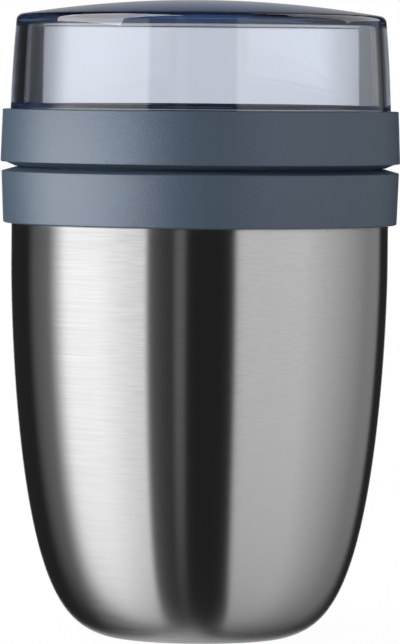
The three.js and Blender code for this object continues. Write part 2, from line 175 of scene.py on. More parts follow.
@dataclass(frozen=True)
class TurnedSteel(Finish):
    """Stainless steel worked on a spindle: fine lines run round the axis, so highlights stretch along it."""

    grain: float  # mm between lines
    streak: float  # mm along a line
    relief: float  # mm deep
    anisotropy: float
    spread: float  # how far the roughness wanders
    darkest: float = 0.95  # share of the colour left in the deepest line
    highlight_turn: float = 0.25  # share of a turn that lays the highlight across the lines

    def shade(self, tree: NodeTree) -> dict[str, Node]:
        """Lines of equal radius and height, broken up along their length.

        Args:
            tree: The material's empty node tree.

        Returns:
            What goes into the material's output, by socket.
        """
        place = add_node(tree, "ShaderNodeTexCoord").outputs["Object"]
        axes = add_node(tree, "ShaderNodeSeparateXYZ", [place]).outputs
        across = add_node(tree, "ShaderNodeCombineXYZ", [axes["X"], axes["Y"]])
        radius = add_node(tree, "ShaderNodeVectorMath", [across], operation="LENGTH").outputs["Value"]
        along = add_node(tree, "ShaderNodeMath", [axes["X"], axes["Y"]], operation="ADD")
        spot = add_node(tree, "ShaderNodeCombineXYZ", [radius, axes["Z"], along])
        fine, slow = 1 / (self.grain * MM), 1 / (self.streak * MM)
        stretched = add_node(tree, "ShaderNodeVectorMath", [spot, (fine, fine, slow)], operation="MULTIPLY")
        lines = add_node(
            tree, "ShaderNodeTexNoise", {"Vector": stretched, "Scale": 1.0, "Detail": 3.0, "Roughness": 0.65}
        )
        tones = {TINT: lines, LIGHT: linear(self.colour), DARK: self.darker(self.darkest)}
        gloss = [lines, *NOISE_SPAN, self.roughness - self.spread, self.roughness + self.spread]
        shader = add_node(
            tree,
            "ShaderNodeBsdfPrincipled",
            {
                "Base Color": add_node(tree, "ShaderNodeMix", tones, data_type="RGBA").outputs[TINTED],
                "Metallic": 1.0,
                "Roughness": add_node(tree, "ShaderNodeMapRange", gloss),
                "Anisotropic": self.anisotropy,
                "Anisotropic Rotation": self.highlight_turn,
                "Normal": add_node(tree, "ShaderNodeBump", {"Height": lines, "Distance": self.relief * MM}),
                "Tangent": add_node(tree, "ShaderNodeTangent", direction_type="RADIAL", axis="Z"),
            },
        )
        return {"Surface": shader}


@dataclass(frozen=True)
class MouldedPlastic(Finish):
    """Polypropylene from a spark-eroded mould: an even, fine-pitted matt skin."""

    pit: float  # mm across; drawn coarser than the real 0.05 mm so that it shows
    relief: float  # mm deep
    spread: float = 0.06  # how far the roughness wanders
    darkest: float = 0.82  # share of the colour left in the deepest pit
    drift: float = 60.0  # slow changes of colour in a metre
    drift_share: float = 0.4
    ior: float = 1.55

    def shade(self, tree: NodeTree) -> dict[str, Node]:
        """Fine pits with a slow drift in colour.

        Args:
            tree: The material's empty node tree.

        Returns:
            What goes into the material's output, by socket.
        """
        place = add_node(tree, "ShaderNodeTexCoord").outputs["Object"]
        pits = add_node(
            tree,
            "ShaderNodeTexNoise",
            {"Vector": place, "Scale": 1 / (self.pit * MM), "Detail": 2.0, "Roughness": 0.7},
        )
        drift = add_node(tree, "ShaderNodeTexNoise", {"Vector": place, "Scale": self.drift, "Detail": 1.0})
        depth = add_node(tree, "ShaderNodeMath", [drift, self.drift_share, pits], operation="MULTIPLY_ADD")
        tones = {TINT: depth, LIGHT: linear(self.colour), DARK: self.darker(self.darkest)}
        gloss = [pits, *NOISE_SPAN, self.roughness - self.spread, self.roughness + self.spread]
        shader = add_node(
            tree,
            "ShaderNodeBsdfPrincipled",
            {
                "Base Color": add_node(tree, "ShaderNodeMix", tones, data_type="RGBA").outputs[TINTED],
                "Roughness": add_node(tree, "ShaderNodeMapRange", gloss),
                "IOR": self.ior,
                "Normal": add_node(tree, "ShaderNodeBump", {"Height": pits, "Distance": self.relief * MM}),
            },
        )
        return {"Surface": shader}


@dataclass(frozen=True)
class ClearPlastic(Finish):
    """Styrene acrylonitrile from a polished mould: clear, faintly blue, with slow flow waves in its skin."""

    wave: float  # mm between flow waves
    relief: float  # mm high
    bulk: str  # colour left after the light has crossed one unit of the plastic
    density: float  # units in a metre
    ior: float = 1.57

    def shade(self, tree: NodeTree) -> dict[str, Node]:
        """A refracting skin over a faint tint.

        Args:
            tree: The material's empty node tree.

        Returns:
            What goes into the material's output, by socket.
        """
        place = add_node(tree, "ShaderNodeTexCoord").outputs["Object"]
        waves = add_node(
            tree, "ShaderNodeTexNoise", {"Vector": place, "Scale": 1 / (self.wave * MM), "Detail": 1.0}
        )
        shader = add_node(
            tree,
            "ShaderNodeBsdfPrincipled",
            {
                "Base Color": linear(self.colour),
                "Roughness": self.roughness,
                "IOR": self.ior,
                "Transmission Weight": 1.0,
                "Normal": add_node(tree, "ShaderNodeBump", {"Height": waves, "Distance": self.relief * MM}),
            },
        )
        tint = {"Color": linear(self.bulk), "Density": self.density}
        return {"Surface": shader, "Volume": add_node(tree, "ShaderNodeVolumeAbsorption", tint)}


@dataclass(frozen=True)
class SoftSolid(Finish):
    """A soft or dull solid with a cellular or cloudy skin: silicone, foam or solder."""

    cell: float  # mm across
    relief: float  # mm deep
    metallic: float = 0.0
    subsurface: float = 0.0
    darkest: float = 0.85  # share of the colour left in the deepest cell

    def shade(self, tree: NodeTree) -> dict[str, Node]:
        """Cells of slightly differing colour and height.

        Args:
            tree: The material's empty node tree.

        Returns:
            What goes into the material's output, by socket.
        """
        place = add_node(tree, "ShaderNodeTexCoord").outputs["Object"]
        cells = add_node(
            tree,
            "ShaderNodeTexNoise",
            {"Vector": place, "Scale": 1 / (self.cell * MM), "Detail": 3.0, "Roughness": 0.6},
        )
        tones = {TINT: cells, LIGHT: linear(self.colour), DARK: self.darker(self.darkest)}
        shader = add_node(
            tree,
            "ShaderNodeBsdfPrincipled",
            {
                "Base Color": add_node(tree, "ShaderNodeMix", tones, data_type="RGBA").outputs[TINTED],
                "Metallic": self.metallic,
                "Roughness": self.roughness,
                "Subsurface Weight": self.subsurface,
                "Subsurface Scale": MM,
                "Normal": add_node(tree, "ShaderNodeBump", {"Height": cells, "Distance": self.relief * MM}),
            },
        )
        return {"Surface": shader}


# Lines of the real brush are under 0.1 mm apart; they are drawn wider so that the render shows them.
BRUSHED_STAINLESS = TurnedSteel(
    "Stainless steel, brushed",
    "#C6C6C6",
    0.24,
    grain=0.4,
    streak=4,
    relief=0.0004,
    anisotropy=1.0,
    spread=0.03,
)
SATIN_STAINLESS = TurnedSteel(
    "Stainless steel, satin turned",
    "#D4D5D6",
    0.36,
    grain=0.4,
    streak=30,
    relief=0.003,
    anisotropy=0.6,
    spread=0.04,
)
SLATE_POLYPROPYLENE = MouldedPlastic(
    "Polypropylene, slate, spark textured", "#6C7F95", 0.34, pit=0.42, relief=0.085
)
CLEAR_STYRENE = ClearPlastic(
    "Styrene acrylonitrile, clear", "#EBEDF2", 0.01, wave=14, relief=0.002, bulk="#7CAAD7", density=25
)
SILICONE = SoftSolid("Silicone rubber, moulded", "#DDE1E4", 0.55, cell=1.5, relief=0.01, subsurface=0.2)
FOAM = SoftSolid("Polyurethane foam, cut", "#EFECE0", 0.95, cell=0.6, relief=0.15)
SOLDER = SoftSolid("Solder, cast", "#9A9DA1", 0.45, cell=0.8, relief=0.03, metallic=1.0)


class Corner(NamedTuple):
    """A corner of a turned outline: radius, height and rounding, in mm."""

    r: float
    z: float
    rounding: float = 0.0


def rounded(corners: Sequence[Corner], closed: bool) -> list[tuple[float, float]]:
    """Rounds the corners of an outline with arcs.

    Args:
        corners: The outline, which runs up on its outer side.
        closed: True where its last corner meets its first.

    Returns:
        The outline's points, as radius and height in mm.
    """
    points: list[tuple[float, float]] = []
    for i, corner in enumerate(corners):
        here = Vector((corner.r, corner.z))
        ends = not closed and i in (0, len(corners) - 1)
        if corner.rounding == 0 or ends:
            points.append((corner.r, corner.z))
            continue
        before, after = corners[i - 1], corners[(i + 1) % len(corners)]
        back = Vector((before.r, before.z)) - here
        ahead = Vector((after.r, after.z)) - here
        half = back.angle(ahead) / 2
        reach = min(corner.rounding / math.tan(half), ARC_SHARE * back.length, ARC_SHARE * ahead.length)
        centre = here + (back.normalized() + ahead.normalized()).normalized() * (reach / math.cos(half))
        start = here + back.normalized() * reach - centre
        sweep = (here + ahead.normalized() * reach - centre).angle_signed(start)
        steps = max(2, math.ceil(abs(sweep) / ARC_STEP))
        for k in range(steps + 1):
            turn = sweep * k / steps
            x = start.x * math.cos(turn) - start.y * math.sin(turn)
            y = start.x * math.sin(turn) + start.y * math.cos(turn)
            points.append((centre.x + x, centre.y + y))
    return points


def rows(r: float, start: float, end: float, step: float) -> list[Corner]:
    """Rows up or down a straight wall, both ends included.

    Args:
        r: Radius of the wall.
        start: Height of the first row.
        end: Height of the last row.
        step: Greatest height between two rows.

    Returns:
        The rows as corners.
    """
    count = max(1, math.ceil(abs(end - start) / step))
    return [Corner(r, start + (end - start) * k / count) for k in range(count + 1)]


def flank_rows(r: float, bottom: float, top: float) -> list[Corner]:
    """Rows up the blank of a flank, closest together at the foot.

    Args:
        r: Radius of the blank.
        bottom: Height of the flank's foot.
        top: Height where the flank turns straight.

    Returns:
        The rows as corners.
    """
    shares = ((k / FLANK_ROWS) ** FLANK_CROWDING for k in range(FLANK_ROWS + 1))
    return [Corner(r, bottom + (top - bottom) * share) for share in shares]


def turned(name: str, corners: Sequence[Corner], closed: bool = True) -> Object:
    """Turns an outline round the axis.

    Args:
        name: The piece's name.
        corners: The outline, which runs up on its outer side.
        closed: False where it starts and ends on the axis.

    Returns:
        The piece, in the scene.
    """
    vertices: list[tuple[float, float, float]] = []
    rings: list[list[int]] = []
    for r, z in rounded(corners, closed):
        first = len(vertices)
        if r == 0:
            rings.append([first] * FACETS)
            vertices.append((0.0, 0.0, z * MM))
            continue
        rings.append([first + k for k in range(FACETS)])
        for k in range(FACETS):
            angle = 2 * math.pi * k / FACETS
            vertices.append((r * math.cos(angle) * MM, r * math.sin(angle) * MM, z * MM))
    faces = []
    for low, high in zip(rings, rings[1:] + rings[:1] if closed else rings[1:]):
        for k in range(FACETS):
            n = (k + 1) % FACETS
            faces.append(tuple(dict.fromkeys((low[k], low[n], high[n], high[k]))))
    mesh = bpy.data.meshes.new(name)
    mesh.from_pydata(vertices, [], faces)
    piece = bpy.data.objects.new(name, mesh)
    bpy.context.scene.collection.objects.link(piece)
    return piece


def flat_ring(
    name: str, radii: tuple[float, float], heights: tuple[float, float], edges: Sequence[float]
) -> Object:
    """Turns a ring of square section, or a disc where its inside radius is nought.

    Args:
        name: The piece's name.
        radii: Inside and outside radius.
        heights: Of its underside and of its top.
        edges: Four roundings, from the lower inside edge round.

    Returns:
        The piece, in the scene.
    """
    (inner, outer), (low, high) = radii, heights
    places = ((inner, low), (outer, low), (outer, high), (inner, high))
    return turned(name, [Corner(r, z, edge) for (r, z), edge in zip(places, edges)], closed=inner > 0)


@dataclass
class WallForm:
    """A node tree that forms one straight wall of a turned blank, found by its radius."""

    title: str
    sizes: tuple[str, ...]
    tree: NodeTree = field(init=False)
    given: dict[str, NodeSocket] = field(init=False)

    def __post_init__(self) -> None:
        """Builds the tree: the wall's points move straight out from the axis by the form's rule."""
        tree = self.tree = bpy.data.node_groups.new(self.title, "GeometryNodeTree")
        face = tree.interface
        face.new_socket("Blank", in_out="INPUT", socket_type="NodeSocketGeometry")
        for size in ("Wall Radius", *self.sizes):
            face.new_socket(size, in_out="INPUT", socket_type="NodeSocketFloat")
        face.new_socket("Finish", in_out="INPUT", socket_type="NodeSocketMaterial")
        face.new_socket("Formed", in_out="OUTPUT", socket_type="NodeSocketGeometry")
        given = self.given = {s.name: s for s in add_node(tree, "NodeGroupInput").outputs if s.name}
        place = add_node(tree, "GeometryNodeInputPosition")
        axes = add_node(tree, "ShaderNodeSeparateXYZ", [place]).outputs
        flat = add_node(tree, "ShaderNodeCombineXYZ", [axes["X"], axes["Y"]])
        radius = add_node(tree, "ShaderNodeVectorMath", [flat], operation="LENGTH").outputs["Value"]
        outward = add_node(tree, "ShaderNodeVectorMath", [flat], operation="NORMALIZE")
        chosen = add_node(
            tree,
            "FunctionNodeCompare",
            {"A": radius, "B": given["Wall Radius"], "Epsilon": ON_WALL},
            data_type="FLOAT",
            operation="EQUAL",
        )
        shift = add_node(
            tree, "ShaderNodeVectorMath", {0: outward, "Scale": self.rule(axes)}, operation="SCALE"
        )
        moved = add_node(
            tree,
            "GeometryNodeSetPosition",
            {"Geometry": given["Blank"], "Selection": chosen, "Offset": shift},
        )
        real = add_node(tree, "GeometryNodeRealizeInstances", [moved])
        dressed = add_node(tree, "GeometryNodeSetMaterial", {"Geometry": real, "Material": given["Finish"]})
        add_node(tree, "NodeGroupOutput", [dressed])

    def rule(self, axes: Mapping[str, NodeSocket]) -> Node:
        """Works out how far a point of the wall moves out from the axis.

        Args:
            axes: The point's X, Y and Z.

        Returns:
            The distance, in metres.
        """
        raise NotImplementedError

    def shape(self, piece: Object, finish: Finish, **sizes: float) -> None:
        """Forms one wall of a piece and keeps the result as a plain mesh.

        Args:
            piece: The turned blank.
            finish: The piece's finish.
            **sizes: The form's named inputs, with underscores for spaces.
        """
        modifier = piece.modifiers.new(self.title, "NODES")
        modifier.node_group = self.tree
        names = {item.name: item.identifier for item in self.tree.interface.items_tree}
        for name, value in sizes.items():
            modifier[names[name.replace("_", " ").title()]] = value
        modifier[names["Finish"]] = finish.material()
        depsgraph = bpy.context.evaluated_depsgraph_get()
        formed = bpy.data.meshes.new_from_object(piece.evaluated_get(depsgraph))
        piece.modifiers.remove(modifier)
        blank, piece.data = piece.data, formed
        bpy.data.meshes.remove(blank)


class FlankForm(WallForm):
    """Spins a straight steel wall in to a foot along a superellipse."""

    def rule(self, axes: Mapping[str, NodeSocket]) -> Node:
        """The wall leans in below its top and turns under at its foot.

        Args:
            axes: The point's X, Y and Z.

        Returns:
            The distance, in metres.
        """
        tree, given = self.tree, self.given
        fallen = add_node(tree, "ShaderNodeMapRange", [axes["Z"], given["Bottom"], given["Top"], 1.0, 0.0])
        share = add_node(tree, "ShaderNodeMath", [given["Foot"], given["Wall Radius"]], operation="DIVIDE")
        curled = add_node(tree, "ShaderNodeMath", [share, given["Corner Power"]], operation="POWER")
        most = add_node(tree, "ShaderNodeMath", [1.0, curled], operation="SUBTRACT")
        eased = add_node(tree, "ShaderNodeMath", [fallen, given["Flank Power"]], operation="POWER")
        lean = add_node(tree, "ShaderNodeMath", [most, eased], operation="MULTIPLY")
        left = add_node(tree, "ShaderNodeMath", [1.0, lean], operation="SUBTRACT")
        root = add_node(tree, "ShaderNodeMath", [1.0, given["Corner Power"]], operation="DIVIDE")
        scale = add_node(tree, "ShaderNodeMath", [left, root], operation="POWER")
        change = add_node(tree, "ShaderNodeMath", [scale, 1.0], operation="SUBTRACT")
        return add_node(tree, "ShaderNodeMath", [given["Wall Radius"], change], operation="MULTIPLY")


class ThreadForm(WallForm):
    """Raises the ridges of a multi-start right-hand thread on a straight wall."""

    def rule(self, axes: Mapping[str, NodeSocket]) -> Node:
        """A ridge climbs round the wall, repeats at each pitch and fades at both ends.

        Args:
            axes: The point's X, Y and Z.

        Returns:
            The distance, in metres.
        """
        tree, given, z = self.tree, self.given, axes["Z"]
        angle = add_node(tree, "ShaderNodeMath", [axes["Y"], axes["X"]], operation="ARCTAN2")
        turns = add_node(tree, "ShaderNodeMath", [angle, 2 * math.pi], operation="DIVIDE")
        climb = add_node(
            tree, "ShaderNodeMath", [turns, given["Lead"], given["Datum"]], operation="MULTIPLY_ADD"
        )
        apart = add_node(tree, "ShaderNodeMath", [z, climb], operation="SUBTRACT")
        above = add_node(tree, "ShaderNodeMath", [given["Pitch"], 0.5], operation="MULTIPLY")
        below = add_node(tree, "ShaderNodeMath", [given["Pitch"], -0.5], operation="MULTIPLY")
        nearest = add_node(tree, "ShaderNodeMath", [apart, above, below], operation="WRAP")
        middle = add_node(tree, "ShaderNodeMath", [z, nearest], operation="SUBTRACT")
        away = add_node(tree, "ShaderNodeMath", [nearest], operation="ABSOLUTE")
        section = add_node(
            tree,
            "ShaderNodeMapRange",
            [away, given["Half Crest"], given["Half Root"], 1.0, 0.0],
            interpolation_type="SMOOTHSTEP",
        )
        full_from = add_node(tree, "ShaderNodeMath", [given["Start"], given["Runout"]], operation="ADD")
        full_to = add_node(tree, "ShaderNodeMath", [given["End"], given["Runout"]], operation="SUBTRACT")
        rising = add_node(tree, "ShaderNodeMapRange", [middle, given["Start"], full_from])
        fading = add_node(tree, "ShaderNodeMapRange", [middle, full_to, given["End"], 1.0, 0.0])
        present = add_node(tree, "ShaderNodeMath", [rising, fading], operation="MULTIPLY")
        height = add_node(tree, "ShaderNodeMath", [section, present], operation="MULTIPLY")
        return add_node(tree, "ShaderNodeMath", [height, given["Reach"]], operation="MULTIPLY")


def dress(piece: Object, node: str, body: Body, finish: Finish) -> None:
    """Finishes a piece and sets it in the place of a node.

    Args:
        piece: The piece.
        node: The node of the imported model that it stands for.
        body: The body that it rides on.
        finish: Its finish.
    """
    piece.data.materials.clear()
    piece.data.materials.append(finish.material())
    piece.data.shade_smooth()
    piece.data.set_sharp_from_angle(angle=SHARP)
    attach(piece, body.value)
    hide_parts(node)
    LOG.info("%s: %d faces, for %s on %s", piece.name, len(piece.data.polygons), node, body.value)


@dataclass(frozen=True)
class Thread:
    """Sizes that both screw threads share."""

    starts: int = 4
    pitch: float = 4.0
    root: float = 1.5  # width where a ridge is sunk into its wall
    crest: float = 0.8
    sunk: float = 0.3
    margin: float = 0.25
    runout: float = 0.15  # radians
    gap: float = 0.35

    @property
    def lead(self) -> float:
        """Rise in one turn."""
        return self.starts * self.pitch

    def drop(self, depth: float) -> float:
        """How far an outside ridge hangs below the inside ridge that it pulls against."""
        return self.root - (self.root - self.crest) / 2 * (depth + self.gap) / depth + self.gap

    def cut(
        self,
        form: ThreadForm,
        piece: Object,
        finish: Finish,
        wall: float,
        reach: float,
        span: tuple[float, float],
        datum: float,
    ) -> None:
        """Raises the thread on a wall of a piece.

        Args:
            form: The thread's node tree.
            piece: The turned blank.
            finish: The piece's finish.
            wall: Radius of the wall.
            reach: Height of the ridges, outwards if positive.
            span: Heights at which each ridge starts and ends.
            datum: A height that a ridge passes on the +X side.
        """
        depth = abs(reach)
        at_wall = self.root - (self.root - self.crest) * self.sunk / (depth + self.sunk)
        form.shape(
            piece,
            finish,
            wall_radius=wall * MM,
            reach=reach * MM,
            start=span[0] * MM,
            end=span[1] * MM,
            datum=datum * MM,
            pitch=self.pitch * MM,
            lead=self.lead * MM,
            half_root=at_wall / 2 * MM,
            half_crest=self.crest / 2 * MM,
            runout=self.runout * self.lead / (2 * math.pi) * MM,
        )


SEAT_GAP = 0.3  # between pieces that rest on each other or sit round each other


@dataclass
class SteelPot:
    """The double-walled steel pot and the pieces in its base."""

    form: FlankForm
    shell_radius: float = 50.5
    shell_wall: float = 0.6
    flank_height: float = 99.8
    straight_height: float = 10.6
    flank_power: float = 1.705
    corner_power: float = 5.69
    foot_radius: float = 25.6
    foot_width: float = 3.5
    groove_depth: float = 0.75
    groove_height: float = 1.0
    lip_height: float = 0.8
    lip_inset: float = 0.2
    cap_recess: float = 1.7
    cap_ledge: float = 3.0
    cap_thickness: float = 0.8
    bead_pocket: float = 1.5
    evacuation_radius: float = 2.5
    bead_radius: float = 3.4
    bead_height: float = 0.8
    getter_radius: float = 4.0
    getter_height: float = 1.6
    liner_wall: float = 0.5
    vacuum_gap: float = 4.5
    base_vacuum: float = 4.2
    liner_flange: float = 2.6
    edge: float = 0.25  # rounding of pressed edges

    @property
    def groove(self) -> float:
        """Height of the snap groove's lower edge."""
        return self.flank_height + self.straight_height

    @property
    def top(self) -> float:
        """Height of the shell's turned-in top."""
        return self.groove + self.groove_height + self.lip_height

    @property
    def groove_radius(self) -> float:
        """Radius in the snap groove."""
        return self.shell_radius - self.groove_depth

    @property
    def cap_radius(self) -> float:
        """Inside radius of the foot ring."""
        return self.foot_radius - self.foot_width

    @property
    def pocket_radius(self) -> float:
        """Radius of the pocket over the base cap."""
        return self.cap_radius - self.cap_ledge

    @property
    def pocket_top(self) -> float:
        """Height of the pocket's roof."""
        return self.cap_recess + self.bead_pocket

    @property
    def liner_radius(self) -> float:
        """Outside radius of the liner's neck."""
        return self.shell_radius - self.shell_wall - self.vacuum_gap

    @property
    def mouth_radius(self) -> float:
        """Inside radius of the liner's neck."""
        return self.liner_radius - self.liner_wall

    @property
    def liner_bottom(self) -> float:
        """Height of the liner's underside."""
        return self.pocket_top + self.shell_wall + self.base_vacuum

    @property
    def liner_top(self) -> float:
        """Height of the liner's flange."""
        return self.top + SEAT_GAP + self.liner_wall

    def spin(self, piece: Object, finish: Finish, radius: float, foot: float, bottom: float) -> None:
        """Spins one wall of a steel blank in to its foot.

        Args:
            piece: The turned blank.
            finish: The piece's finish.
            radius: Radius of the wall.
            foot: Radius at its foot.
            bottom: Height of its foot.
        """
        self.form.shape(
            piece,
            finish,
            wall_radius=radius * MM,
            foot=foot * MM,
            bottom=bottom * MM,
            top=self.flank_height * MM,
            flank_power=self.flank_power,
            corner_power=self.corner_power,
        )

    def shell(self) -> None:
        """Makes the outer shell from a straight blank, and spins its two walls to the foot."""
        wall, inner = self.shell_wall, self.shell_radius - self.shell_wall
        lip = self.shell_radius - self.lip_inset
        mouth = self.liner_radius + SEAT_GAP
        groove_top = self.groove + self.groove_height
        piece = turned(
            "brushed_shell",
            [
                Corner(self.evacuation_radius, self.pocket_top),
                Corner(self.pocket_radius, self.pocket_top, self.edge),
                Corner(self.pocket_radius, self.cap_recess, self.edge),
                Corner(self.cap_radius, self.cap_recess, self.edge),
                Corner(self.cap_radius, 0, 2 * self.edge),
                *flank_rows(self.shell_radius, 0, self.flank_height),
                Corner(self.shell_radius, self.groove, self.edge),
                Corner(self.groove_radius, self.groove, self.edge),
                Corner(self.groove_radius, groove_top, self.edge),
                Corner(lip, groove_top, self.edge),
                Corner(lip, self.top, self.edge),
                Corner(mouth, self.top),
                Corner(mouth, self.top - wall),
                Corner(self.groove_radius - wall, self.top - wall, self.edge),
                Corner(self.groove_radius - wall, self.groove - wall, self.edge),
                Corner(inner, self.groove - wall, self.edge),
                *reversed(flank_rows(inner, wall, self.flank_height)),
                Corner(self.cap_radius + wall, wall, self.edge),
                Corner(self.cap_radius + wall, self.cap_recess + wall, self.edge),
                Corner(self.pocket_radius + wall, self.cap_recess + wall, self.edge),
                Corner(self.pocket_radius + wall, self.pocket_top + wall, self.edge),
                Corner(self.evacuation_radius, self.pocket_top + wall),
            ],
        )
        self.spin(piece, BRUSHED_STAINLESS, self.shell_radius, self.foot_radius, 0)
        self.spin(piece, BRUSHED_STAINLESS, inner, self.foot_radius - wall, wall)
        dress(piece, "outer_shell", Body.POT, BRUSHED_STAINLESS)

    def liner(self) -> None:
        """Makes the liner with its flange, and spins its two walls to the foot."""
        wall, foot = self.liner_wall, self.foot_radius - self.vacuum_gap
        bottom, floor = self.liner_bottom, self.liner_bottom + self.liner_wall
        flange = self.liner_radius + self.liner_flange
        piece = turned(
            "satin_liner",
            [
                Corner(0, bottom),
                *flank_rows(self.liner_radius, bottom, self.flank_height),
                Corner(self.liner_radius, self.liner_top - wall, self.edge),
                Corner(flange, self.liner_top - wall),
                Corner(flange, self.liner_top, wall / 2),
                Corner(self.mouth_radius, self.liner_top, 2 * wall),
                *reversed(flank_rows(self.mouth_radius, floor, self.flank_height)),
                Corner(0, floor),
            ],
            closed=False,
        )
        self.spin(piece, SATIN_STAINLESS, self.liner_radius, foot, bottom)
        self.spin(piece, SATIN_STAINLESS, self.mouth_radius, foot - wall, floor)
        dress(piece, "inner_liner", Body.POT, SATIN_STAINLESS)

    def base(self) -> None:
        """Makes the disc under the foot, the bead over the evacuation hole and the getter's can."""
        top = self.cap_recess - SEAT_GAP
        low, radius = top - self.cap_thickness, self.cap_radius - SEAT_GAP
        cap = flat_ring("base_disc", (0, radius), (low, top), (0, self.edge, self.edge, 0))
        dress(cap, "base_cap", Body.POT, SATIN_STAINLESS)
        head = self.pocket_top - SEAT_GAP
        stem = self.evacuation_radius - SEAT_GAP
        stem_top = self.pocket_top + self.shell_wall + SEAT_GAP
        bead = turned(
            "solder_bead",
            [
                Corner(0, head - self.bead_height),
                Corner(self.bead_radius, head - self.bead_height, 0.7 * self.bead_height),
                Corner(self.bead_radius, head),
                Corner(stem, head),
                Corner(stem, stem_top, self.edge),
                Corner(0, stem_top),
            ],
            closed=False,
        )
        dress(bead, "vacuum_seal", Body.POT, SOLDER)
        low, high = stem_top, stem_top + self.getter_height
        edges = (0, self.edge, self.getter_height / 3, 0)
        can = flat_ring("getter_can", (0, self.getter_radius), (low, high), edges)
        aside = (self.evacuation_radius + self.pocket_radius) / 2 * MM
        for vertex in can.data.vertices:
            vertex.co.x += aside
        dress(can, "getter", Body.POT, SOLDER)

    def build(self) -> None:
        """Makes every piece of the pot."""
        self.shell()
        self.liner()
        self.base()


@dataclass
class Collar:
    """The ring snapped on the pot, with the thread that the lid turns into."""

    pot: SteelPot
    form: ThreadForm
    thread: Thread
    overhang: float = 2.7
    taper: float = 0.5
    overlap: float = 2.1
    lower_edge: float = 0.45
    upper_edge: float = 0.3
    undercut: float = 0.25
    bead: float = 0.6
    gasket_thickness: float = 0.7
    gasket_width: float = 1.5
    seat_setback: float = 1.2
    seat_width: float = 2.8
    seat_thickness: float = 1.2
    seam_land: float = 0.7
    chamfer: float = 1.0
    thread_depth: float = 1.1
    seal_thickness: float = 1.2
    skirt_height: float = 8.1
    edge: float = 0.2

    @property
    def radius(self) -> float:
        """Widest radius, at the upper edge."""
        return self.pot.shell_radius + self.overhang

    @property
    def gasket_bottom(self) -> float:
        """Height of the gasket's underside."""
        return self.pot.liner_top + SEAT_GAP

    @property
    def seat_bottom(self) -> float:
        """Height of the seat's underside."""
        return self.gasket_bottom + self.gasket_thickness + SEAT_GAP

    @property
    def seat_top(self) -> float:
        """Height of the face that the lid's seal sits on."""
        return self.seat_bottom + self.seat_thickness

    @property
    def seat_radius(self) -> float:
        """Inside radius of the seat."""
        return self.pot.mouth_radius + self.seat_setback

    @property
    def bore(self) -> float:
        """Radius of the threaded wall."""
        return self.seat_radius + self.seat_width

    @property
    def seam_radius(self) -> float:
        """Radius of the seam between collar and lid."""
        return self.bore + self.seam_land

    @property
    def plug_bottom(self) -> float:
        """Height of the underside of the lid's skirt."""
        return self.seat_top + SEAT_GAP + self.seal_thickness + SEAT_GAP

    @property
    def lid_bottom(self) -> float:
        """Height of the lid at the seam."""
        return self.plug_bottom + self.skirt_height

    @property
    def top(self) -> float:
        """Height of the collar at the seam."""
        return self.lid_bottom - SEAT_GAP

    @property
    def thread_low(self) -> float:
        """Height of the lowest ridge's middle."""
        return self.plug_bottom + self.thread.margin + self.thread.root / 2

    @property
    def thread_high(self) -> float:
        """Height of the highest ridge's middle."""
        return self.top - self.thread.margin - self.thread.root / 2

    def build(self) -> None:
        """Makes the collar and the gasket under its seat."""
        pot = self.pot
        bottom, sleeve = pot.top - self.overlap, pot.shell_radius + SEAT_GAP
        bead_radius = pot.groove_radius + SEAT_GAP
        bead_middle = pot.groove + pot.groove_height / 2
        ring = turned(
            "slate_collar",
            [
                Corner(sleeve, bottom, self.edge),
                Corner(self.radius - self.taper, bottom + self.undercut, self.lower_edge),
                Corner(self.radius, self.top - self.chamfer, self.upper_edge),
                Corner(self.seam_radius, self.top, self.upper_edge),
                Corner(self.bore, self.top),
                *rows(self.bore, self.top - self.edge, self.seat_top, THREAD_ROW),
                Corner(self.seat_radius, self.seat_top, self.edge),
                Corner(self.seat_radius, self.seat_bottom, self.edge),
                Corner(sleeve, self.seat_bottom),
                Corner(sleeve, bead_middle + self.bead / 2),
                Corner(bead_radius, bead_middle, self.bead / 3),
                Corner(sleeve, bead_middle - self.bead / 2),
            ],
        )
        self.thread.cut(
            self.form,
            ring,
            SLATE_POLYPROPYLENE,
            self.bore,
            -self.thread_depth,
            (self.thread_low + self.thread.drop(self.thread_depth), self.thread_high),
            self.thread_high,
        )
        dress(ring, "collar_ring", Body.POT, SLATE_POLYPROPYLENE)
        inner, outer = self.seat_radius, self.seat_radius + self.gasket_width
        low, high = self.gasket_bottom, self.gasket_bottom + self.gasket_thickness
        gasket = flat_ring("neck_gasket", (inner, outer), (low, high), [self.edge] * 4)
        dress(gasket, "collar_gasket", Body.POT, SILICONE)


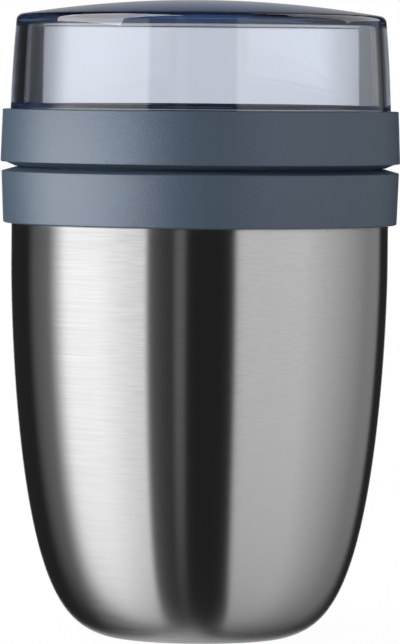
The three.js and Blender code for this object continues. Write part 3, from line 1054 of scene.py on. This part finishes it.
@dataclass
class ScrewLid:
    """The hollow lid: a threaded plug with foam in it, and a tray that the snack bowl turns into."""

    collar: Collar
    form: ThreadForm
    thread: Thread
    seal_width: float = 2.0
    boss_lip: float = 0.4
    plug_wall: float = 2.0
    plug_floor: float = 1.8
    plug_flange: float = 2.0
    step: float = 0.3
    taper: float = 0.55
    ring_height: float = 15.2
    chamfer: float = 1.15
    lip: float = 1.2
    ring_edge: float = 0.3
    tray_floor: float = 2.2
    rim_seal_thickness: float = 1.2
    rim_seal_groove: float = 0.6
    rim_seal_width: float = 2.3
    ledge: float = 2.0
    bowl_play: float = 0.35
    rim_wall: float = 2.55
    neck_depth: float = 1.0
    neck_length: float = 5.5
    neck_relief: float = 0.2
    bowl_thread_depth: float = 0.95
    edge: float = 0.2

    @property
    def skirt_radius(self) -> float:
        """Radius of the plug's threaded wall."""
        return self.collar.bore - self.collar.thread_depth - self.thread.gap

    @property
    def seal_radius(self) -> float:
        """Outside radius of the seal under the plug."""
        return self.skirt_radius - SEAT_GAP

    @property
    def boss_radius(self) -> float:
        """Radius of the boss that holds the seal."""
        return self.seal_radius - self.seal_width - SEAT_GAP

    @property
    def plug_bore(self) -> float:
        """Inside radius of the plug."""
        return self.skirt_radius - self.plug_wall

    @property
    def top(self) -> float:
        """Height of the ring's top face."""
        return self.collar.lid_bottom + self.ring_height

    @property
    def radius(self) -> float:
        """Widest radius, at the ring's lower edge."""
        return self.collar.radius + self.step

    @property
    def top_radius(self) -> float:
        """Radius at the ring's upper edge."""
        return self.radius - self.taper

    @property
    def bowl_radius(self) -> float:
        """Radius of the bowl where it enters the ring."""
        return self.top_radius - self.ledge

    @property
    def socket_radius(self) -> float:
        """Radius of the tray's threaded wall."""
        return self.bowl_radius + self.bowl_play

    @property
    def neck_radius(self) -> float:
        """Radius of the bowl's threaded wall."""
        return self.bowl_radius - self.neck_depth

    @property
    def bowl_bore(self) -> float:
        """Inside radius of the bowl at its rim."""
        return self.bowl_radius - self.rim_wall

    @property
    def rim_bottom(self) -> float:
        """Height of the bowl's rim."""
        return self.top - self.neck_length

    @property
    def rim_seal_bottom(self) -> float:
        """Height of the underside of the bowl's seal."""
        return self.rim_bottom - SEAT_GAP - self.rim_seal_thickness

    @property
    def seal_groove_floor(self) -> float:
        """Height of the floor of the seal's groove."""
        return self.rim_seal_bottom - SEAT_GAP

    @property
    def tray_top(self) -> float:
        """Height of the tray's floor."""
        return self.seal_groove_floor + self.rim_seal_groove

    @property
    def tray_bottom(self) -> float:
        """Height of the tray's underside."""
        return self.tray_top - self.tray_floor

    @property
    def bowl_thread_low(self) -> float:
        """Height of the lowest ridge's middle on the bowl."""
        return self.rim_bottom + self.thread.margin + self.thread.root / 2

    @property
    def bowl_thread_high(self) -> float:
        """Height of the highest ridge's middle in the tray."""
        return self.top - self.neck_relief - self.thread.margin - self.thread.root / 2

    def seal(self) -> None:
        """Makes the seal under the plug, with a soft lip on its seat."""
        inner, low = self.boss_radius + SEAT_GAP, self.collar.seat_top + SEAT_GAP
        high, soft = low + self.collar.seal_thickness, self.collar.seal_thickness / 3
        edges = (self.edge, soft, soft, self.edge)
        ring = flat_ring("lid_seal", (inner, self.seal_radius), (low, high), edges)
        dress(ring, "pot_seal", Body.POT_SEAL, SILICONE)

    def plug(self) -> None:
        """Makes the threaded plug and the foam in it."""
        low, floor = self.collar.plug_bottom, self.collar.plug_bottom + self.plug_floor
        flange_top = self.tray_bottom - SEAT_GAP
        flange_low = flange_top - self.plug_flange
        boss_low = self.collar.seat_top + SEAT_GAP - self.boss_lip
        flange_radius = self.collar.bore - SEAT_GAP
        plug = turned(
            "threaded_plug",
            [
                Corner(0, boss_low),
                Corner(self.boss_radius, boss_low, 2 * self.edge),
                Corner(self.boss_radius, low, self.edge),
                Corner(self.skirt_radius - self.edge, low),
                *rows(self.skirt_radius, low + self.edge, flange_low - self.edge, THREAD_ROW),
                Corner(self.skirt_radius, flange_low, self.edge),
                Corner(flange_radius, flange_low, self.edge),
                Corner(flange_radius, flange_top, self.edge),
                Corner(self.plug_bore, flange_top),
                Corner(self.plug_bore, floor, self.plug_wall / 2),
                Corner(0, floor),
            ],
            closed=False,
        )
        depth = self.collar.thread_depth
        high = self.collar.thread_high - self.thread.drop(depth)
        self.thread.cut(
            self.form,
            plug,
            SLATE_POLYPROPYLENE,
            self.skirt_radius,
            depth,
            (self.collar.thread_low, high),
            high,
        )
        dress(plug, "lid_plug", Body.LID, SLATE_POLYPROPYLENE)
        radius, top = self.plug_bore - SEAT_GAP, self.tray_bottom - 2 * SEAT_GAP
        edges = (0, self.plug_wall, self.edge, 0)
        puck = flat_ring("foam_puck", (0, radius), (floor + SEAT_GAP, top), edges)
        dress(puck, "lid_insulation", Body.LID, FOAM)

    def tray(self) -> None:
        """Makes the tray: the upper ring, its floor and the thread for the bowl."""
        low, bevel = self.collar.lid_bottom, self.collar.lid_bottom + self.chamfer
        groove_wall = self.bowl_bore - SEAT_GAP
        tray = turned(
            "slate_tray",
            [
                Corner(0, self.tray_bottom),
                Corner(self.collar.bore, self.tray_bottom, self.edge),
                Corner(self.collar.bore, low, self.edge),
                Corner(self.collar.seam_radius, low, self.edge),
                Corner(self.radius - self.lip, bevel, self.ring_edge),
                Corner(self.radius, bevel, self.ring_edge),
                Corner(self.top_radius, self.top, self.ring_edge),
                Corner(self.socket_radius + self.edge, self.top),
                *rows(self.socket_radius, self.top - self.edge, self.seal_groove_floor, THREAD_ROW),
                Corner(groove_wall, self.seal_groove_floor),
                Corner(groove_wall, self.tray_top, self.edge),
                Corner(0, self.tray_top),
            ],
            closed=False,
        )
        self.thread.cut(
            self.form,
            tray,
            SLATE_POLYPROPYLENE,
            self.socket_radius,
            self.neck_radius + self.thread.gap - self.socket_radius,
            (self.bowl_thread_low + self.thread.drop(self.bowl_thread_depth), self.bowl_thread_high),
            self.bowl_thread_high,
        )
        dress(tray, "lid_tray", Body.LID, SLATE_POLYPROPYLENE)

    def build(self) -> None:
        """Makes every piece of the lid."""
        self.seal()
        self.plug()
        self.tray()


@dataclass
class SnackBowl:
    """The clear bowl that stands upside down in the tray, and the seal under its rim."""

    lid: ScrewLid
    form: ThreadForm
    thread: Thread
    height: float = 29.4
    depth: float = 22.6  # top of the lid's ring to the inside corner
    taper: float = 1.55
    inner_taper: float = 1.0
    bulge: float = 0.35
    inner_bulge: float = 0.22
    swell: float = 0.5  # share of the side's height where it swells most
    inner_swell: float = 0.8
    crown_rise: float = 4.2
    corner: float = 2.8
    inner_corner: float = 0.5
    roof: float = 3.2
    rim_shoulder: float = 0.4
    rim_step: float = 1.0
    rim_edge: float = 0.4
    side_steps: int = 24
    crown_steps: int = 40

    def side(self, foot: Corner, end: Corner, apex: float, bulge: float, swell: float) -> list[Corner]:
        """One side of the bowl's wall, from its foot to its corner and over its crown.

        Args:
            foot: Where it starts.
            end: The corner where side and crown meet.
            apex: Height of the crown on the axis.
            bulge: How far the side swells outward.
            swell: Share of its height where it swells most.

        Returns:
            The side as corners.
        """
        swell_r = foot.r + (end.r - foot.r) * swell + bulge
        swell_z = foot.z + (end.z - foot.z) * swell
        made = []
        for k in range(self.side_steps + 1):
            t = k / self.side_steps
            a, b, c = (1 - t) ** 2, 2 * t * (1 - t), t**2
            made.append(Corner(a * foot.r + b * swell_r + c * end.r, a * foot.z + b * swell_z + c * end.z))
        clear = [corner for corner in made if corner.z < end.z - end.rounding]
        crown = []
        for k in range(1, self.crown_steps + 1):
            out = 1 - k / self.crown_steps
            crown.append(Corner(end.r * out, end.z + (apex - end.z) * (1 - out**2)))
        inward = [corner for corner in crown if corner.r < end.r - end.rounding]
        return [*clear, end, *inward]

    def build(self) -> None:
        """Makes the bowl with its thread, and the seal under its rim."""
        lid = self.lid
        neck_top, bore_top = lid.top - lid.neck_relief, lid.top + self.rim_shoulder
        top, wall = lid.top + self.height, lid.bowl_bore - self.rim_step
        outside = self.side(
            Corner(lid.bowl_radius, lid.top),
            Corner(lid.bowl_radius - self.taper, top - self.crown_rise, self.corner),
            top,
            self.bulge,
            self.swell,
        )
        inside = self.side(
            Corner(wall, bore_top + self.rim_step),
            Corner(wall - self.inner_taper, lid.top + self.depth, self.inner_corner),
            top - self.roof,
            self.inner_bulge,
            self.inner_swell,
        )
        bowl = turned(
            "clear_bowl",
            [
                *reversed(inside),
                Corner(lid.bowl_bore, bore_top, self.rim_edge),
                Corner(lid.bowl_bore, lid.rim_bottom, self.rim_edge),
                Corner(lid.neck_radius - self.rim_edge, lid.rim_bottom),
                *rows(lid.neck_radius, lid.rim_bottom + self.rim_edge, neck_top, THREAD_ROW),
                Corner(lid.bowl_radius, neck_top, self.rim_edge / 2),
                *outside,
            ],
            closed=False,
        )
        depth = lid.bowl_thread_depth
        high = lid.bowl_thread_high - self.thread.drop(depth)
        self.thread.cut(
            self.form, bowl, CLEAR_STYRENE, lid.neck_radius, depth, (lid.bowl_thread_low, high), high
        )
        dress(bowl, "snack_bowl", Body.BOWL, CLEAR_STYRENE)
        low, high = lid.rim_seal_bottom, lid.rim_seal_bottom + lid.rim_seal_thickness
        inner, outer, soft = lid.bowl_bore, lid.bowl_bore + lid.rim_seal_width, lid.rim_seal_thickness / 3
        seal = flat_ring("rim_seal", (inner, outer), (low, high), (lid.edge, lid.edge, soft, soft))
        dress(seal, "bowl_seal", Body.BOWL_SEAL, SILICONE)


@dataclass(frozen=True)
class Softbox:
    """A lit panel, by the angles that it spans; azimuth 0 is behind the camera, 90 on its right."""

    start: float
    end: float
    start_edge: float  # how softly it starts
    end_edge: float
    strength: float
    fade_from: float  # where its light starts to change towards its end
    end_strength: float
    head: float = 35.0  # elevation of its upper edge
    head_edge: float = 20.0
    sill: float = -14.0  # elevation where the floor takes over
    sill_edge: float = 10.0
    floor_share: float = 0.8  # how much of its light the floor throws back
    nadir_share: float = 0.45  # how much of that is left straight below


NADIR = (-85.0, -28.0)  # elevations between which the floor's light fades
STRAIGHT_BEHIND = 180.0  # azimuth
RIGHT_START = 22.0  # azimuth where the boxes on the right start


@dataclass(frozen=True)
class Lamp:
    """An area lamp; lengths in mm, angles in degrees from the pot, power in watts."""

    width: float
    height: float
    azimuth: float
    elevation: float
    power: float
    distance: float = 1500.0
    aim: float = 0.0  # height on the axis that it faces


@dataclass
class Studio:
    """Camera, softboxes, floor and world."""

    distance: float = 1300.0  # mm from the axis to the lens
    eye_height: float = 147.3
    aim_height: float = 83.8
    aim_across: float = 0.28
    scale: float = 3.732  # pixels to a mm at the axis
    roll: float = 0.5  # degrees
    far_clip: float = 20.0  # m
    floor_radius: float = 620.0
    floor_sides: int = 128
    paper: str = "#E6E6E6"
    paper_glow: float = 1.09  # keeps the paper white to the camera
    paper_glow_share: float = 0.88  # the rest of it takes the shadow
    room: float = 0.022  # unlit studio, as metal mirrors it
    soft_light: float = 0.33  # light from all round
    steepest: float = 1.02  # over 1, so that a ray straight down has a compass angle too
    widening: float = -0.41  # of the gap between the boxes, as the ray turns down
    lean: float = 6.0  # degrees that the gap leans to the right, as the ray turns down
    bounces: int = 40
    key: Lamp = Lamp(width=1000, height=1400, azimuth=-75, elevation=14, power=10)
    strip: Lamp = Lamp(width=2600, height=1000, azimuth=-72, elevation=-6, power=23, aim=130)
    roof_left: Lamp = Lamp(width=1600, height=1900, azimuth=-75, elevation=42, power=50, aim=165)
    roof_right: Lamp = Lamp(width=1500, height=1500, azimuth=125, elevation=36, power=10, aim=165)
    panels: tuple[Softbox, ...] = (
        Softbox(
            start=-97, end=-32.2, start_edge=10, end_edge=1.5,
            strength=2.05, fade_from=-64, end_strength=1.42,
            head=16, head_edge=8, sill=-10, floor_share=0.7, nadir_share=0.3,
        ),
        Softbox(
            start=-126, end=-100, start_edge=5, end_edge=8,
            strength=0.1, fade_from=-126, end_strength=0.25,
        ),
        Softbox(
            start=-36, end=-15, start_edge=3, end_edge=3,
            strength=0.12, fade_from=-33, end_strength=0.02,
        ),
        Softbox(
            start=-14.8, end=-8.4, start_edge=1.2, end_edge=1.2,
            strength=0.21, fade_from=-14, end_strength=0.21,
            sill=-20, sill_edge=16, floor_share=0.25,
        ),
        Softbox(
            start=RIGHT_START, end=143, start_edge=1.5, end_edge=3,
            strength=0.32, fade_from=60, end_strength=0.32,
            sill=-10, floor_share=0.74,
        ),
        Softbox(
            start=RIGHT_START, end=124, start_edge=1.5, end_edge=3,
            strength=0.64, fade_from=67, end_strength=0.0,
            sill=-10, floor_share=0.74,
        ),
    )
    backdrops: tuple[Softbox, ...] = (  # by the angle off straight behind
        Softbox(
            start=-5, end=10.6, start_edge=0.4, end_edge=0.4,
            strength=1.0, fade_from=5.5, end_strength=0.55,
            head=2, head_edge=2,
        ),
        Softbox(
            start=-5, end=12, start_edge=0.4, end_edge=3,
            strength=0.34, fade_from=10, end_strength=0.34,
            head=14, head_edge=14, sill=2, sill_edge=2, floor_share=0.0,
        ),
    )
    behind_right: Softbox = Softbox(
        start=160, end=171, start_edge=2, end_edge=4,
        strength=0.3, fade_from=140, end_strength=0.3,
    )

    def camera(self) -> None:
        """Places the camera at the photograph's viewing angle."""
        data = bpy.data.cameras.new("camera")
        data.lens = self.scale * data.sensor_width * self.distance / IMAGE_HEIGHT
        data.clip_end = self.far_clip
        eye = Vector((self.aim_across, -self.distance, self.eye_height)) * MM
        aim = Vector((self.aim_across, 0, self.aim_height)) * MM
        camera = bpy.data.objects.new("camera", data)
        camera.rotation_mode = "QUATERNION"
        level = (aim - eye).to_track_quat("-Z", "Y")
        camera.rotation_quaternion = level @ Quaternion((0, 0, 1), math.radians(self.roll))
        camera.location = eye
        bpy.context.scene.collection.objects.link(camera)
        bpy.context.scene.camera = camera

    def hang(self, name: str, lamp: Lamp) -> Object:
        """Hangs an area lamp, out of the camera's sight and facing the pot.

        Args:
            name: The lamp's name.
            lamp: Its size, place and power.

        Returns:
            The lamp as an object.
        """
        data = bpy.data.lights.new(name, "AREA")
        data.shape = "RECTANGLE"
        data.size, data.size_y = lamp.width * MM, lamp.height * MM
        data.energy = lamp.power
        hung = bpy.data.objects.new(name, data)
        turn, rise = math.radians(lamp.azimuth), math.radians(lamp.elevation)
        way = Vector((math.sin(turn) * math.cos(rise), -math.cos(turn) * math.cos(rise), math.sin(rise)))
        hung.location = way * lamp.distance * MM + Vector((0, 0, lamp.aim * MM))
        hung.rotation_mode = "QUATERNION"
        hung.rotation_quaternion = (-way).to_track_quat("-Z", "Y")
        hung.visible_camera = False
        hung.visible_transmission = False
        bpy.context.scene.collection.objects.link(hung)
        return hung

    def key_light(self) -> None:
        """Lights the matt pieces; the world gives metal its mirror image."""
        lamp = self.hang("key_softbox", self.key)
        lamp.visible_glossy = False

    def shine(self, name: str, lamp: Lamp, pieces: Sequence[str]) -> None:
        """Adds shine to some pieces alone; light linking leaves the others out.

        Args:
            name: The lamp's name.
            lamp: Its size, place and power.
            pieces: The pieces that it lights.
        """
        hung = self.hang(name, lamp)
        hung.visible_diffuse = False
        lit = bpy.data.collections.new(f"{name}_lights")
        for piece in pieces:
            lit.objects.link(bpy.data.objects[piece])
        hung.light_linking.receiver_collection = lit

    def panel(self, tree: NodeTree, box: Softbox, azimuth: Node, elevation: Node) -> Node:
        """Draws one softbox on the world.

        Args:
            tree: The world's node tree.
            box: The softbox.
            azimuth: Compass angle of the ray, in degrees.
            elevation: Its angle above the horizon, in degrees.

        Returns:
            The softbox's light.
        """
        smooth, even = "SMOOTHSTEP", "LINEAR"
        ramps = (
            (smooth, azimuth, box.start - box.start_edge, box.start + box.start_edge, 0.0, 1.0),
            (smooth, azimuth, box.end - box.end_edge, box.end + box.end_edge, 1.0, 0.0),
            (even, azimuth, box.fade_from, box.end, box.strength, box.end_strength),
            (smooth, elevation, box.head - box.head_edge, box.head + box.head_edge, 1.0, 0.0),
            (smooth, elevation, box.sill - box.sill_edge, box.sill + box.sill_edge, box.floor_share, 1.0),
            (even, elevation, *NADIR, box.nadir_share, 1.0),
        )
        light: Node | float = 1.0
        for manner, *span in ramps:
            ramp = add_node(tree, "ShaderNodeMapRange", span, interpolation_type=manner)
            light = add_node(tree, "ShaderNodeMath", [ramp, light], operation="MULTIPLY")
        return light

    def world(self) -> None:
        """Builds the world: white to the camera, softboxes in a dark room to metal and clear plastic."""
        world = bpy.data.worlds.new("studio")
        bpy.context.scene.world = world
        world.use_nodes = True
        tree = world.node_tree
        tree.nodes.clear()
        way = add_node(tree, "ShaderNodeTexCoord").outputs["Generated"]
        axes = add_node(tree, "ShaderNodeSeparateXYZ", [way]).outputs
        front = add_node(tree, "ShaderNodeMath", [axes["Y"], -1.0], operation="MULTIPLY")
        square = add_node(tree, "ShaderNodeMath", [axes["Z"], axes["Z"]], operation="MULTIPLY")
        level = add_node(tree, "ShaderNodeMath", [self.steepest, square], operation="SUBTRACT")
        # The gap between the boxes widens towards the floor, so its image keeps its width on the foot.
        widened = add_node(tree, "ShaderNodeMath", [level, self.widening], operation="POWER")
        forward = add_node(tree, "ShaderNodeMath", [front, widened], operation="MULTIPLY")
        compass = add_node(tree, "ShaderNodeMath", [axes["X"], forward], operation="ARCTAN2")
        bearing = add_node(tree, "ShaderNodeMath", [compass], operation="DEGREES")
        cube = add_node(tree, "ShaderNodeMath", [square, axes["Z"]], operation="MULTIPLY")
        azimuth = add_node(tree, "ShaderNodeMath", [cube, self.lean, bearing], operation="MULTIPLY_ADD")
        rise = add_node(tree, "ShaderNodeMath", [axes["Z"]], operation="ARCSINE")
        elevation = add_node(tree, "ShaderNodeMath", [rise], operation="DEGREES")
        turn = add_node(tree, "ShaderNodeMath", [azimuth], operation="ABSOLUTE")
        behind = add_node(tree, "ShaderNodeMath", [STRAIGHT_BEHIND, turn], operation="SUBTRACT")
        mirrored: Node | float = self.room
        for boxes, angle in ((self.panels, azimuth), (self.backdrops, behind)):
            for box in boxes:
                lit = self.panel(tree, box, angle, elevation)
                mirrored = add_node(tree, "ShaderNodeMath", [lit, mirrored], operation="ADD")
        grey = self.panel(tree, self.behind_right, azimuth, elevation)
        through = add_node(tree, "ShaderNodeMath", [mirrored, grey], operation="ADD")
        light = add_node(tree, "ShaderNodeLightPath").outputs
        seen: Node | float = self.soft_light
        for ray, shown in (("Glossy", mirrored), ("Transmission", through), ("Camera", 1.0)):
            choice = {"Factor": light[f"Is {ray} Ray"], "A": seen, "B": shown}
            seen = add_node(tree, "ShaderNodeMix", choice)
        sky = add_node(tree, "ShaderNodeBackground", {"Color": linear("#FFFFFF"), "Strength": seen})
        add_node(tree, "ShaderNodeOutputWorld", {"Surface": sky})

    def floor(self) -> None:
        """Lays a round pale floor that stays white to the camera and keeps a soft shadow."""
        reach = self.floor_radius * MM
        rim = [2 * math.pi * k / self.floor_sides for k in range(self.floor_sides)]
        edge = [(reach * math.cos(angle), reach * math.sin(angle), 0.0) for angle in rim]
        mesh = bpy.data.meshes.new("floor")
        mesh.from_pydata(edge, [], [tuple(range(self.floor_sides))])
        floor = bpy.data.objects.new("floor", mesh)
        bpy.context.scene.collection.objects.link(floor)
        paper = bpy.data.materials.new("Paper, white, seamless")
        paper.use_nodes = True
        tree = paper.node_tree
        tree.nodes.clear()
        matt = add_node(tree, "ShaderNodeBsdfDiffuse", {"Color": linear(self.paper)})
        white = add_node(tree, "ShaderNodeEmission", {"Strength": self.paper_glow})
        seen = add_node(tree, "ShaderNodeLightPath").outputs["Is Camera Ray"]
        share = add_node(tree, "ShaderNodeMath", [seen, self.paper_glow_share], operation="MULTIPLY")
        mixed = add_node(tree, "ShaderNodeMixShader", [share, matt, white])
        add_node(tree, "ShaderNodeOutputMaterial", {"Surface": mixed})
        mesh.materials.append(paper)
        floor.visible_glossy = False

    def build(self) -> None:
        """Sets up the whole studio."""
        self.camera()
        self.key_light()
        self.world()
        self.floor()
        scene = bpy.context.scene
        scene.view_settings.view_transform = "Standard"
        # Light that enters the bowl's roof is thrown to and fro many times before it leaves.
        for kind in ("max_bounces", "glossy_bounces", "transmission_bounces"):
            setattr(scene.cycles, kind, self.bounces)


def main() -> None:
    logging.basicConfig(level=logging.INFO, format="%(name)s: %(message)s")
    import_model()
    studio = Studio()
    studio.build()
    flank = FlankForm("spun_flank", ("Foot", "Bottom", "Top", "Flank Power", "Corner Power"))
    ridges = ThreadForm(
        "thread_ridges",
        ("Reach", "Start", "End", "Datum", "Pitch", "Lead", "Half Root", "Half Crest", "Runout"),
    )
    thread = Thread()
    pot = SteelPot(flank)
    collar = Collar(pot, ridges, thread)
    lid = ScrewLid(collar, ridges, thread)
    bowl = SnackBowl(lid, ridges, thread)
    for part in (pot, collar, lid, bowl):
        part.build()
    studio.shine("ring_softbox", studio.strip, ("slate_collar", "slate_tray"))
    studio.shine("roof_softbox_left", studio.roof_left, ("clear_bowl",))
    studio.shine("roof_softbox_right", studio.roof_right, ("clear_bowl",))


if __name__ == "__main__":
    main()
